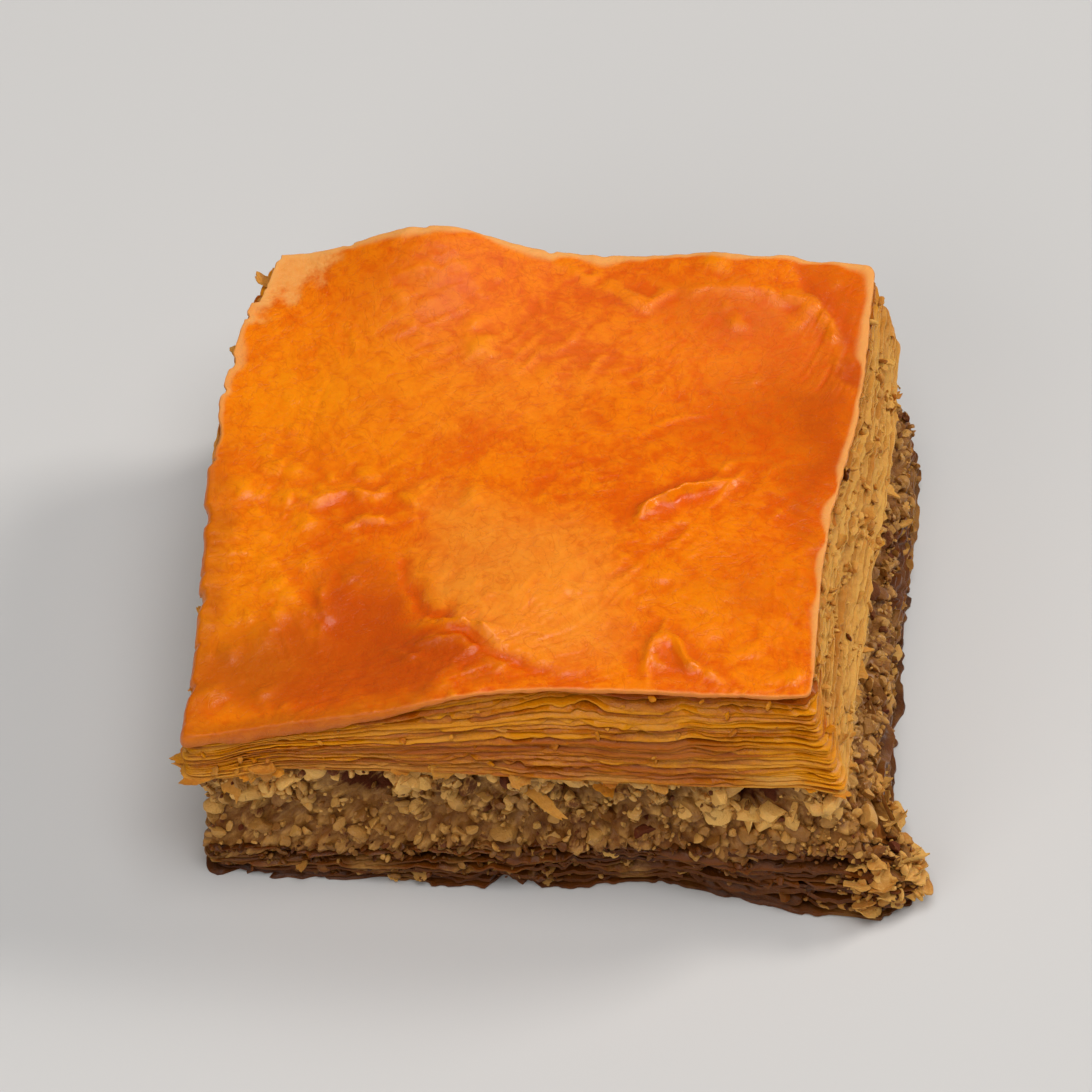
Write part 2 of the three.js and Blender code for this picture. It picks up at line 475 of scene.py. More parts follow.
class PackedCrust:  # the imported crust, smoothed, as a height for any place in plan
    def __init__(self, pitch=0.5):
        self.pitch = pitch
        self.x = np.arange(topLayer.low.x - 3, topLayer.high.x + 3, pitch)
        self.y = np.arange(topLayer.low.y - 3, topLayer.high.y + 3, pitch)
        x, y = np.meshgrid(self.x, self.y, indexing="ij")
        turn = turnOf(x, y)
        dx, dy = bearing(turn)
        out = np.minimum(np.hypot(x, y), topLayer.reach(0.97, turn) - 0.8)
        z = np.zeros(out.shape)
        for index in np.ndindex(out.shape):
            z[index] = topLayer.above(dx[index] * out[index], dy[index] * out[index])
        spread = crust["blur"] / pitch
        reach = int(3 * spread)
        weights = bellWeights(spread, reach)
        for axis in (0, 1):
            padded = np.pad(z, [(reach, reach) if a == axis else (0, 0) for a in (0, 1)], mode="edge")
            z = np.apply_along_axis(np.convolve, axis, padded, weights, mode="valid")
        self.z = z

    def __call__(self, x, y):
        i = np.clip((x - self.x[0]) / self.pitch, 0, len(self.x) - 1.001)
        j = np.clip((y - self.y[0]) / self.pitch, 0, len(self.y) - 1.001)
        a, b = i.astype(int), j.astype(int)
        s, t = i - a, j - b
        front = self.z[a, b] * (1 - s) + self.z[a + 1, b] * s
        back = self.z[a, b + 1] * (1 - s) + self.z[a + 1, b + 1] * s
        return front * (1 - t) + back * t


packedCrust = PackedCrust()


def scatterBlisters(count, size, steep):
    random = np.random.default_rng(5)
    made = []
    while len(made) < count:
        x, y = random.uniform(-27, 20), random.uniform(-21, 22)
        if random.uniform() < spots(x, y, crust["blistered"]) + 0.02:
            radius = size[0] + (size[1] - size[0]) * random.uniform() ** 2
            made.append((x, y, radius, random.uniform(*steep)))
    return made


blisters = scatterBlisters(**crust["blisters"])


def blisterDome(x, y):
    total = np.zeros(np.shape(x))
    x, y = x + 0.3 * swell(x, y, 0.8, 113), y + 0.3 * swell(x, y, 0.8, 127)
    for bx, by, radius, steep in blisters:
        near = (np.abs(x - bx) < 2.6 * radius) & (np.abs(y - by) < 2.6 * radius)
        dome = radius * steep * bell(np.hypot(x[near] - bx, y[near] - by) / radius)
        total[near] = np.maximum(total[near], dome)
    return total


def wrinkles(x, y, size, seed):  # soft creases that run in patches and change their way
    way = 0.4 + 1.1 * swell(x, y, 13, seed)
    along, across = x * np.cos(way) + y * np.sin(way), y * np.cos(way) - x * np.sin(way)
    crease = 1 - 2 * np.abs(noise(along / (3.2 * size), across / size, seed + 5))
    return crease * ease(-0.25, 0.55, swell(x, y, 6.5, seed + 9))


def crustRelief(x, y):
    x, y = np.asarray(x, float), np.asarray(y, float)
    facet = ease(-0.5, 0.7, depthInside(x, y, crust["facet"], 0.4, 2.0))
    total = 0.2 * rough(x / 9, y / 8, 0.3, 2) - 0.22 * facet + 0.022 * rough(x / 0.8, y / 0.8, 1.5, 2)
    creases = sum(depth * wrinkles(x, y, size, seed) for depth, size, seed in crust["creases"])
    calm = (1 - 0.75 * facet) * (1 - 0.6 * ease(-19, -23, x))
    total += creases * calm * (1 - spots(x, y, crust["calm"]))
    wanderX, wanderY = 0.5 * swell(x, y, 1.7, 3), 0.5 * swell(x, y, 1.7, 43)
    uneven = 1 + 0.5 * swell(x, y, 0.9, 17)
    for fold in crust["folds"]:
        distance, along = lineDistance(x + wanderX, y + wanderY, fold["path"])
        taper = np.sin(np.pi * np.clip(along, 0.03, 0.97)) ** 0.7
        total += fold["height"] * taper * uneven * np.exp(-(distance / fold["width"]) ** 1.4)
    inside = depthInside(x, y, crust["pillow"], 0.5, 2.4)
    step = 0.35 * ease(-0.2, 0.7, inside) - 0.16 * bell((inside + 0.3) / 0.35)  # the pillow's plain edge
    total += pillowStep(x, y) * step + spots(x, y, crust["humps"])
    total -= 0.08 * ease(-0.7, 0.6, depthInside(x, y, crust["peel"], 1.1, 1.1))
    return total + blisterDome(x, y)


def pillowStep(x, y):  # 1 at the pillow's lower left, where it ends in a step, and 0 where it fades out
    return ease(-4, -11, y) * ease(4, -3, x)


def crustHeight(x, y):
    return packedCrust(x, y) + crustRelief(x, y) - crust["settle"]


def drape(turn):  # how far the crust hangs over the cut wall, which it does at the low front left corner
    return crust["drape"] * (ease(3.3, 3.75, turn) + (1 - ease(0.12, 0.4, turn)) * (turn < 2))


def draped(turn):  # 0 where the crust ends in a cut edge, and 1 where it bends over the wall
    return np.clip(drape(turn) / 0.3, 0, 1)


def crustEdgeOut(turn):  # how far out the crust's edge stands
    dx, dy = bearing(turn)
    base = topLayer.reach(0.98, turn) + crust["overhang"]
    x, y = dx * base, dy * base
    ragged = perSide(turn, *crust["ragged"])
    chips = np.maximum(0, swell(x, y, 2.3, 61) - 0.3) + 0.4 * np.maximum(0, swell(x, y, 0.8, 66) - 0.3)
    wander = (0.05 + 0.12 * ragged) * swell(x, y, 2.6, 8.5) + 0.06 * swell(x, y, 0.7, 9.5)
    return base + wander - (0.1 + 1.5 * ragged) * chips


def crustRings(rim, turn):  # the crust's edge and the start of its underside: a ring of points for each step
    x, y, z = rim.T
    away = np.hypot(x, y)
    hang = drape(turn) * (1 + 0.5 * rough(x / 2.2, y / 2.2, 14))
    hung = draped(turn)
    thick = crust["thickness"] * (1 + 0.3 * swell(x, y, 1.3, 4))
    steps = zip(crust["cutEdge"], crust["hungEdge"])
    for step, ((cutOut, cutDown), (hangOut, hangDown)) in enumerate(steps):
        move = cutOut * (1 - hung) + hangOut * hung + 0.03 * swell(x, y, 0.6, 3.0 * step)
        down = cutDown * thick * (1 - hung) + hangDown * (0.5 + hang) * hung
        ringX, ringY, ringZ = x + x / away * move, y + y / away * move, z - down
        if min(cutOut, hangOut) < 0:  # inside the rim it stays below the crust
            ringZ = np.minimum(ringZ, crustHeight(ringX, ringY) - thick)
        edge = (1 - hung * (1 - min(1, 0.25 * step))) * perSide(turn, 0.55, 1, 1, 1)
        yield np.stack([ringX, ringY, ringZ], -1), edge, hung * max(0.3, 0.7 - 0.1 * step)


def makeCrust(material):
    across, along = crust["cells"]
    u, v = np.meshgrid(np.linspace(-1, 1, across + 1), np.linspace(-1, 1, along + 1), indexing="ij")
    turn, rho = planToTurn(u, v)
    dx, dy = bearing(turn)
    full = topLayer.reach(0.98, turn)
    out = rho * full + rho ** 14 * (crustEdgeOut(turn) - full)
    x, y = dx * out, dy * out
    points = np.stack([x, y, crustHeight(x, y)], -1).reshape(-1, 3)
    index = np.arange(x.size).reshape(x.shape)
    loop = rimOf(index)
    rings, edges, bends = zip(*crustRings(points[loop], turn.ravel()[loop]))
    faces = [gridFaces(index[:-1].T, index[1:].T)]
    for step in range(len(rings)):
        own = len(points) + step * len(loop) + np.arange(len(loop))
        faces.append(bandFaces(loop if step == 0 else own - len(loop), own))
    inset = (1 - rho) * full
    nearRim = draped(turn) * ease(2.6, 0, inset + 0.7 * swell(x, y, 1.8, 77))
    browned = np.maximum(0.7 * nearRim, spots(x, y, crust["browned"]))
    allPoints = np.concatenate([points, *rings])
    insets = np.concatenate([inset.ravel(), np.zeros(len(allPoints) - len(points))])
    tints = crustTints(allPoints[:, 0], allPoints[:, 1], insets)
    tints["edge"] = np.concatenate([0 * rho.ravel(), *edges])
    tints["bent"] = np.concatenate([browned.ravel(), *bends])
    return makePiece("crust", allPoints, faces, material, tints)


def crustTints(x, y, inset):  # where the crust is browner, paler, yellower and duller, and where it has painted highlight on crests and painted shade in hollows
    wobble = 1.3 * rough(x / 3.5, y / 3.5, 12)
    wx, wy = x + wobble, y - wobble
    inside = depthInside(x, y, crust["pillow"], 0.8, 2.4)
    soft, crisp = ease(-1.0, 4.5, inside), ease(-0.3, 1.4, inside)
    pale = 1.1 * (soft + (crisp - soft) * pillowStep(x, y)) + spots(wx, wy, crust["pale"])
    facet = ease(-0.6, 0.9, depthInside(x, y, crust["facet"], 0.8, 2.0))
    toast = (spots(wx, wy, crust["toast"]) + 0.35 * facet) * (1 - 0.9 * ease(-0.2, 0.5, inside))
    yellow = spots(wx, wy, crust["yellow"]) + 1.4 * blisterDome(x, y)
    peeled = ease(-1.5, 2.4, depthInside(x, y, crust["peel"], 1.1, 1.1))
    turn = turnOf(x, y)
    width = perSide(turn, *crust["rimWidth"]) * (1 + 0.9 * swell(x, y, 2.4, 71))
    rim = ease(1.25, 0.35, inset / np.maximum(width, 0.05)) * perSide(turn, *crust["rimPale"])
    # how far each place stands above its neighbours: crests get a painted highlight, hollows a painted shade
    nearby = sum(crustRelief(x + dx, y + dy) for dx, dy in ((1, 0), (-1, 0), (0, 1), (0, -1)))
    return dict(
        pale=pale, toast=toast, yellow=yellow, peeled=peeled, rim=rim * (1 - draped(turn)),
        crestLightAndShade=crustRelief(x, y) - 0.25 * nearby, matte=spots(wx, wy, crust["matte"]))


def crustPaint():
    paint = Paint("browned_crust")
    where = paint.place()
    broad = paint.speckle(where, 0.2, 3)
    mottle = paint.speckle(where, 0.8, 5, 0.62, 0.6)
    fine = paint.speckle(where, 2.6, 4, 0.62)
    lines = paint.line(paint.speckle(where, 0.42, 3, 0.5, 1.4), 0.022)
    threads = paint.line(paint.speckle(where, 1.1, 2, 0.5, 0.8), 0.03)
    crestLightAndShade = paint.attribute("crestLightAndShade")
    # crests are painted lighter and hollows darker: painted highlight and painted shade
    tone = paint.step(broad * 0.35 + mottle * 0.4 + fine * 0.25 + crestLightAndShade * 0.8, 0.36, 0.64)
    base = paint.blend(tone, colour(228, 92, 0), colour(250, 130, 0))
    base = paint.blend(paint.attribute("yellow") * (0.3 + 0.8 * mottle), base, colour(253, 150, 2))
    base = paint.blend(paint.attribute("pale") * (0.2 + 0.8 * mottle), base, colour(251, 150, 44))
    toast = paint.step(paint.attribute("toast") + (mottle - 0.5) * 0.9 + (fine - 0.5) * 0.4, 0.12, 0.95)
    base = paint.blend(toast * 0.85, base, colour(194, 72, 4))
    base = paint.blend(lines * 0.3 + threads * 0.16, base, colour(206, 84, 2))
    flaked = paint.step(paint.attribute("peeled") + (mottle - 0.5) * 0.7 + (fine - 0.5) * 0.5, 0.1, 0.9)
    base = paint.blend(flaked * 0.95, base, paint.blend(fine, colour(240, 140, 48), colour(250, 182, 102)))
    # the pale line along the edge: cut pastry, with painted rim light at the back and right
    base = paint.blend(paint.attribute("rim"), base, colour(243, 170, 92))
    base = paint.blend(paint.attribute("edge") * 0.85, base, colour(222, 136, 48))
    drapedTone = paint.blend(mottle, colour(168, 72, 0), colour(214, 116, 2))
    base = paint.blend(paint.attribute("bent"), base, drapedTone)
    dull = flaked * 0.2 + paint.attribute("matte") * 0.3
    dull = dull + paint.attribute("edge") * 0.25 + paint.attribute("bent") * 0.15
    paint.set(
        BaseColor=base,
        Roughness=0.17 + 0.2 * mottle + dull,
        CoatWeight=0.08,
        CoatRoughness=0.1,
        SpecularIORLevel=0.23,
        SubsurfaceWeight=0.1,
        SubsurfaceScale=0.7 * mm,
        SubsurfaceRadius=(1.0, 0.35, 0.06),
        Normal=paint.bump(fine * 0.35 + mottle * 0.45 - lines * 0.12 - threads * 0.08, 0.09),
    )
    return paint.material


leaves = dict(
    # how many, how far they stray from the wall, and how open and torn the front, right, back and left are
    upper=dict(count=31, seed=3, stray=1.0, loose=(0.25, 1.0, 0.7, 0.6)),
    lower=dict(count=10, seed=71, stray=1.6, loose=(0.9, 1.0, 0.7, 0.7)),
    depth=3.4,  # how far in each leaf runs
    bend=1.1,  # how far in from its tip a leaf starts to stray from its place
)


def underCrust(*insets):
    # how high the leaves can come, at the lowest of these distances in from the crust's edge
    out = crustEdgeOut(turns) - np.array(insets)[:, None]
    height = crustHeight(dirX * out, dirY * out).min(0)
    height = np.minimum(height, np.minimum(np.roll(height, 1), np.roll(height, -1)))
    return height - crust["thickness"] - 0.03


def stackOfLeaves(layer, low, high, highInside, count, seed, stray, loose):
    # each leaf's floor and roof at its tip and inside, and how far out its tip stands, as count x columns
    random = np.random.default_rng(seed)
    rank = np.arange(count)[:, None]
    x, y = dirX * layer.reach(0.5), dirY * layer.reach(0.5)
    k = rank + seed  # so that each leaf has its own noise
    porous = perSide(turns, *loose)
    weight = random.uniform(0.6, 1.4, (count, 1)) + 0.45 * swell(x, y, 8, k * 1.71)
    weight = np.clip(weight + (0.1 + 0.16 * porous) * swell(x, y, 2.4, k * 2.37), 0.3, 2)
    opening = 2.6 * np.maximum(0, swell(x, y, 7, k * 1.33 + 50) - 0.2)
    opening += (0.4 + 2.2 * porous) * np.maximum(0, swell(x, y, 3.0, k * 3.33 + 80) - 0.3)
    opening += 1.6 * porous * np.maximum(0, swell(x, y, 1.2, k * 5.1 + 30) - 0.45)
    total = weight + opening
    share = total / total.sum(0)
    top = np.cumsum(share, 0)
    bottom = top - share
    height = high - low
    thin = weight / total * (0.9 - 0.14 * porous)
    tipLow, tipHigh = low + height * bottom, low + height * (bottom + share * thin)
    evenLow = low + (highInside - low) * (rank + 0.06) / count
    evenHigh = low + (highInside - low) * (rank + 0.94) / count
    middle = (rank + 0.5) / count
    ripple = 0.16 * swell(x, y, 5.3, rank * 0.2 + seed)
    ripple = ripple + (0.04 + 0.05 * porous) * swell(x, y, 1.3, rank * 0.9 + seed)
    ripple = ripple * np.sin(np.pi * middle)  # none at the floor and the roof
    wander = 0.2 * swell(x, y, 6, k * 0.37)
    wander = wander + (0.1 + 0.1 * porous) * swell(x, y, 2.1, k * 1.13 + 20)
    wander = wander + (0.04 + 0.12 * porous) * swell(x, y, 0.6, k * 1.9)
    wander = wander + random.uniform(-0.16, 0.16, (count, 1))
    torn = np.maximum(0, swell(x, y, 3.2, k * 2.9 + 90) + 0.3 * swell(x, y, 0.7, k) - 0.45)
    out = layer.reach(np.clip(middle, 0.03, 0.98)) + stray * (wander - (0.9 + 1.5 * porous) * torn)
    tint = random.uniform(0, 1, (count, 1)) + 0.5 * swell(x, y, 5, k * 2.1)
    return dict(
        tipLow=tipLow + ripple, tipHigh=tipHigh + ripple, evenLow=evenLow, evenHigh=evenHigh,
        bendRoof=high + 0 * rank, out=out, tint=tint, up=middle + 0 * x)


def tuckUnderCrust(stack):
    # the highest leaves stay behind the crust where it hangs, and well back under it at the front right
    edge = crustEdgeOut(turns)
    edgeHeight = crustHeight(dirX * edge, dirY * edge)
    below = edgeHeight - stack["tipHigh"]
    hung = np.clip(drape(turns) / 0.5, 0, 1)
    behind = edge + 0.1 * hung - 0.05
    near = ease(1.2 + drape(turns), 0.6 + drape(turns), below)
    stack["out"] = np.where(near > 0, np.minimum(stack["out"], behind + (1 - near) * 0.6), stack["out"])
    shy = 0.9 * ease(0.4, 0.55, turns) * ease(0.99, 0.95, turns)
    stack["out"] = stack["out"] - shy * ease(2.0, 1.4, below)


def upperSoaking(up):  # how much syrup each leaf holds along its tip
    x, y = dirX * topLayer.reach(0.5), dirY * topLayer.reach(0.5)
    side = perSide(turns, 0.85, 0.12, 0.4, 0.62, 0.06)
    high = 0.3 * ease(0.72, 0.95, up) - 0.25 * ease(0.3, 0.05, up)
    return np.clip(side + high + 0.3 * swell(x, y, 4, up * 9), 0, 1)


def lowerSoakingAndShade(up):
    # syrup in the foot's leaves, whose dark colour also stands for painted shade near the floor, most at the
    # front and right
    side = perSide(turns, 1.0, 0.8, 0.6, 0.7, 0.12)
    return np.clip(side + 0.4 * rough(dirX * 7, dirY * 7, up * 2, 2), 0, 1)


def makeLeaves(name, stack, rows, material):
    keys = ("tipLow", "tipHigh", "evenLow", "evenHigh", "bendRoof", "out", "tint", "soak")
    low, high, evenLow, evenHigh, bendRoof, out, tint, soak = (stack[key][rows] for key in keys)
    bendHigh = np.minimum(0.45 * high + 0.55 * evenHigh, bendRoof)
    bendLow = np.minimum(0.45 * low + 0.55 * evenLow, bendHigh - 0.05)
    # round a leaf from its inner end, over its tip and back: how far out, how high, and how near the tip
    section = [
        (out - leaves["depth"], evenHigh, 0),
        (out - leaves["bend"], bendHigh, 0.45),
        (out - 0.06, high, 1),
        (out, low + 0.3 * (high - low), 1),
        (out - leaves["bend"], bendLow, 0.4),
        (out - leaves["depth"], evenLow, 0),
    ]
    points = np.stack([standAt(turns, r, z) for r, z, _ in section], 2)  # leaf, column, section, xyz
    index = np.arange(points.size // 3).reshape(points.shape[:3])
    onward = np.roll(index, -1, 1)
    faces = np.stack([index[..., :-1], index[..., 1:], onward[..., 1:], onward[..., :-1]], -1).reshape(-1, 4)
    attributes = dict(
        tip=np.tile([near for _, _, near in section], out.size),
        tint=np.repeat(tint.ravel(), len(section)),
        soak=np.repeat(soak.ravel(), len(section)))
    return makePiece(name, points.reshape(-1, 3), [faces], material, attributes, sharp=60)


def leafPaint(name, dry, wet, shine):
    # dry and wet each give three colours: deep in, where the darker colour is painted shade between the
    # leaves, in the middle, and at the tip
    paint = Paint(name)
    where = paint.place()
    streak = paint.speckle(paint.stretch(where, (0.5, 0.5, 4.0)), 0.9, 4, 0.6)
    mottle = paint.speckle(where, 1.5, 4, 0.6)
    grain = paint.speckle(where, 6.0, 3, 0.6)
    soak = paint.step(paint.attribute("soak") + (mottle - 0.5) * 0.5, 0.1, 0.9)
    tone = 0.35 * streak + 0.25 * mottle + 0.25 * paint.attribute("tint") + 0.15 * grain
    tone = paint.step(tone, 0.3, 0.66)
    deep, middle, light = (paint.blend(soak, d, w) for d, w in zip(dry, wet))
    outer = paint.blend(tone, middle, light)
    # the leaf darkens from its tip to its inner end: painted shade between the leaves
    base = paint.blend(paint.step(paint.attribute("tip"), 0.15, 0.95), deep, outer)
    paint.set(
        BaseColor=base,
        Roughness=0.55 - 0.22 * soak,
        CoatWeight=shine * soak,
        CoatRoughness=0.2,
        SpecularIORLevel=0.15,
        SubsurfaceWeight=0.2,
        SubsurfaceScale=0.8 * mm,
        SubsurfaceRadius=(1.0, 0.5, 0.12),
        Normal=paint.bump(grain * 0.6 + streak * 0.4, 0.12),
    )
    return paint.material


nuts = dict(
    columns=960,
    rows=42,
    grains=(1.5, 0.7),  # mm, of the large and the small ones that stand out of the core
    # loose ones: how many in the cut and spilt below it, their sizes in mm, how finely they are meshed,
    # how far apart they stay in shares of their size, and how deep they sit
    chunks=dict(seed=21, count=270, spilt=14, smallest=1.3, largest=2.8, level=3, spacing=0.6, sink=0.22),
    crumbs=dict(seed=22, count=1980, spilt=400, smallest=0.35, largest=1.4, level=2, spacing=0.0, sink=0.1),
    recess=0.6,  # how far the core stays behind the cut
    skirt=1.8,  # how far the core can come forward over the foot
    underhang=(1.0, 0.5, 0.4, 0.3),  # how far it comes forward under the upper leaves, on each side
    spill=(1.3, 0.9, 0.6, 0.6),  # how far it spills down over the foot, on each side
    # clusters of big pale ones: where they start and end, their share of the height, how many, and size
    clusters=[
        dict(turns=(0.04, 0.11), share=0.74, count=3, size=2.0),
        dict(turns=(0.265, 0.31), share=0.76, count=4, size=2.6),
        dict(turns=(0.72, 0.79), share=0.46, count=5, size=2.7),
        dict(turns=(0.81, 0.88), share=0.37, count=5, size=2.4),
        dict(turns=(0.765, 0.79), share=0.76, count=2, size=2.2),
        dict(turns=(0.92, 0.97), share=0.56, count=4, size=2.0),
    ],
)
hollows = [  # hollows in the filling, whose insides are also painted dark as shade: turn, share of the height, and sizes along, up and in, in mm
    dict(turn=0.215, share=0.7, along=2.2, up=1.6, depth=2.8),
    dict(turn=0.845, share=0.75, along=2.2, up=1.55, depth=2.8),
    dict(turn=0.56, share=0.74, along=1.9, up=0.9, depth=1.9),
    dict(turn=0.7, share=0.74, along=0.9, up=0.9, depth=1.4),
    dict(turn=0.66, share=0.25, along=1.3, up=0.4, depth=1.2),
    dict(turn=1.35, share=0.6, along=1.2, up=0.8, depth=1.4),
    dict(turn=1.72, share=0.4, along=1.6, up=1.0, depth=1.4),
    dict(turn=2.4, share=0.7, along=2.0, up=0.9, depth=1.8),
    dict(turn=2.8, share=0.4, along=1.2, up=0.7, depth=1.4),
    dict(turn=3.3, share=0.5, along=1.7, up=1.1, depth=1.8),
    dict(turn=3.7, share=0.7, along=1.4, up=0.8, depth=1.5),
]


def hollowDepth(turn, share, height):
    perTurn = sum(walls["half"])  # about how many mm of wall there are to one turn
    across, level = turn * perTurn, share * height
    shift, rise = 0.7 * swell(across, level, 1.1, 19), 0.5 * swell(across, level, 1.1, 23)
    total = 0
    for hollow in hollows:
        along = ((turn - hollow["turn"] + 2) % 4 - 2) * perTurn + shift
        up = (share - hollow["share"]) * height + rise
        total = total + hollow["depth"] * bell(np.hypot(along / hollow["along"], up / hollow["up"]) ** 2)
    return total


def nutWall(turn, share):  # the cut face of the filling, which comes forward to the leaves below and above
    out = nutLayer.reach(np.clip(share, 0.05, 0.95), turn)
    ledge = footLayer.reach(0.95, turn) - out
    uneven = 0.9 + 0.4 * noise(turn * 11, 0 * turn, 6.5)
    skirt = np.clip(ledge, 0, nuts["skirt"]) * uneven * ease(0.42, -0.05, share)
    eaves = topLayer.reach(0.05, turn) - 0.35 - out
    under = np.clip(eaves, 0, 1.6) * perSide(turn, *nuts["underhang"]) * ease(0.4, 0.95, share)
    floor, roof = nutLayer.span(turn)
    return out + skirt + under - hollowDepth(turn, share, roof - floor)


def lowness(x, y, z):  # 0 at the roof of the filling and 1 at its floor, where the syrup gathers
    floor, roof = nutLayer.span(turnOf(x, y))
    return ease(0.8, 0.0, (z - floor) / (roof - floor))


def makeNutCore(material):
    turn = np.arange(nuts["columns"]) * 4 / nuts["columns"]
    floor, roof = nutLayer.span(turn)
    share = np.linspace(-0.04, 1.04, nuts["rows"])[:, None]
    spill = np.maximum(0, 0.35 + noise(turn * 9, 0 * turn, 2.5)) * perSide(turn, *nuts["spill"])
    # down to the tongue where that lies lower
    spill = np.maximum(spill, floor - around(footLayer.roof, turn) - 0.4)
    z = floor + share * (roof - floor) - spill * ease(0.2, -0.04, share)
    out = nutWall(turn, np.clip(share, 0, 1)) - nuts["recess"] * ease(-0.1, 0.25, share)
    x, y, _ = np.moveaxis(standAt(turn, out, z), -1, 0)
    large, largeOwn = grains(x, y, z, nuts["grains"][0])
    small, smallOwn = grains(x + 40, y, z, nuts["grains"][1])
    out = out + large * (0.2 + 0.6 * largeOwn) + small * (0.1 + 0.25 * smallOwn) - 0.45
    out = out + 0.3 * rough(x / 2.6, y / 2.6, z / 2.2)
    sunk = np.clip(hollowDepth(turn, share, roof - floor) / 1.2, 0, 1)
    proud = (large * small) ** 0.7  # low in the gaps between the grains
    # the tint is painted darker in the gaps between the grains and in the hollows: painted shade
    tint = (0.25 * largeOwn + 0.7 * smallOwn ** 1.4) * (0.3 + 0.7 * proud) + 0.1 * proud
    tint = tint * (1 - 0.9 * sunk)
    # dark skin colour: painted shade in the hollows, and here and there a nut's own brown skin
    skinAndShade = np.maximum(1.2 * sunk * (0.3 + smallOwn), 0.6 * (smallOwn > 0.93))
    # one more row below and above turns in behind the leaves
    out, z, tint, skinAndShade = (np.concatenate([v[:1], v, v[-1:]]) for v in (out, z, tint, skinAndShade))
    out[[0, -1]] -= 4
    points = standAt(turn, out, z).reshape(-1, 3)
    index = np.arange(z.size).reshape(z.shape)
    faces = gridFaces(index, np.roll(index, -1, 1))
    attributes = dict(tint=tint, skinAndShade=skinAndShade, low=lowness(*points.T))
    return makePiece("nut_core", points, [faces], material, attributes)


def ball(level):  # a sphere of triangles, as points and faces
    mesh = bmesh.new()
    bmesh.ops.create_icosphere(mesh, subdivisions=level, radius=1)
    points = np.array([v.co for v in mesh.verts])
    faces = np.array([[v.index for v in f.verts] for f in mesh.faces])
    mesh.free()
    return points, faces


def brokenBits(random, level, centres, sizes, squash, cuts=7):
    # lumps with flat faces chopped off them, one for each centre, and each turned its own way
    points, faces = ball(level)
    count = len(centres)
    shapes = np.repeat(points[None], count, 0) * (1 + 0.12 * random.standard_normal((count, 1, 3)))
    for _ in range(cuts):
        normal = random.standard_normal((count, 1, 3))
        normal /= np.linalg.norm(normal, axis=2, keepdims=True)
        over = np.maximum(0, (shapes * normal).sum(2) - random.uniform(0.35, 0.85, (count, 1)))
        shapes -= over[..., None] * normal
    where = shapes * 2.4 + random.uniform(-50, 50, (count, 1, 3))
    shapes *= 1 + 0.1 * rough(where[..., 0], where[..., 1], where[..., 2], 2)[..., None]
    shapes *= np.array(squash)
    ways = random.standard_normal((count, 4))
    turned = np.array([Quaternion(way).normalized().to_matrix() for way in ways])
    shapes = np.einsum("nij,nvj->nvi", turned, shapes) * (sizes[:, None, None] / 2) + centres[:, None]
    shapes[..., 2] = np.maximum(shapes[..., 2], 0.02)  # none of them under the floor
    allFaces = faces + np.arange(count)[:, None, None] * len(points)
    return shapes.reshape(-1, 3), allFaces.reshape(-1, 3), len(points)


def scatterOnNuts(random, count, smallest, largest, spacing, sink):
    sizes, places = [], []
    for _ in range(count * 30):
        if len(sizes) == count:
            break
        turn, share = random.uniform(0, 4), random.uniform(0.0, 1.0)
        size = smallest + (largest - smallest) * random.uniform() ** 2.0
        floor, roof = nutLayer.span(turn)
        deepest = 0.02 if size > 1.4 else 0.3 if size > 0.8 else 1.6  # only small ones lie in the hollows
        if hollowDepth(turn, share, roof - floor) > deepest:
            continue
        z = min(max(floor + share * (roof - floor), floor + 0.25 * size), roof - 0.3 * size)
        place = standAt(turn, nutWall(turn, share) - size * sink * random.uniform(0.5, 1.4) - 0.1, z)
        if places and spacing > 0:
            apart = np.linalg.norm(np.array(places) - place, axis=1)
            if (apart < spacing * (np.array(sizes) + size) / 2).any():
                continue
        sizes.append(size)
        places.append(place)
    return places, sizes


def ledgePlace(random, turn):  # on the foot's top leaf, where it stands out from the nuts
    inner, outer = nutLayer.reach(0.1, turn) - 0.6, footLayer.reach(0.9, turn) - 0.1
    outer = max(outer, inner + 0.8)
    out = inner + (outer - inner) * random.uniform() ** 1.3
    rise = 1.2 * (1 - (out - inner) / (outer - inner)) * random.uniform()
    return standAt(turn, out, around(footLayer.roof, turn) + rise)


def spillTurn(random):  # most bits fall on the wide ledge at the right
    return random.uniform(0.9, 1.9) if random.uniform() < 0.55 else random.uniform(0, 4)


def spiltPlace(random):  # on the ledge, or stuck to the foot's wall
    turn = spillTurn(random)
    if random.uniform() < 0.35:
        return wallPlace(footLayer, turn, random.uniform(0.15, 1.0), random.uniform(0.0, 0.3))
    return ledgePlace(random, turn)


def clusterBits(random, clusters):  # the places and sizes of nuts that lie close together
    places, sizes = [], []
    for cluster in clusters:
        for turn in np.linspace(*cluster["turns"], cluster["count"]):
            size = cluster["size"] * random.uniform(0.75, 1.25)
            turn = turn + random.uniform(-0.006, 0.006)
            share = cluster["share"] + random.uniform(-0.07, 0.07)
            out = nutWall(turn, share) + hollowDepth(turn, share, 8) - random.uniform(0.1, 0.35) * size
            floor, roof = nutLayer.span(turn)
            places.append(standAt(turn, out, floor + share * (roof - floor)))
            sizes.append(size)
    return places, sizes


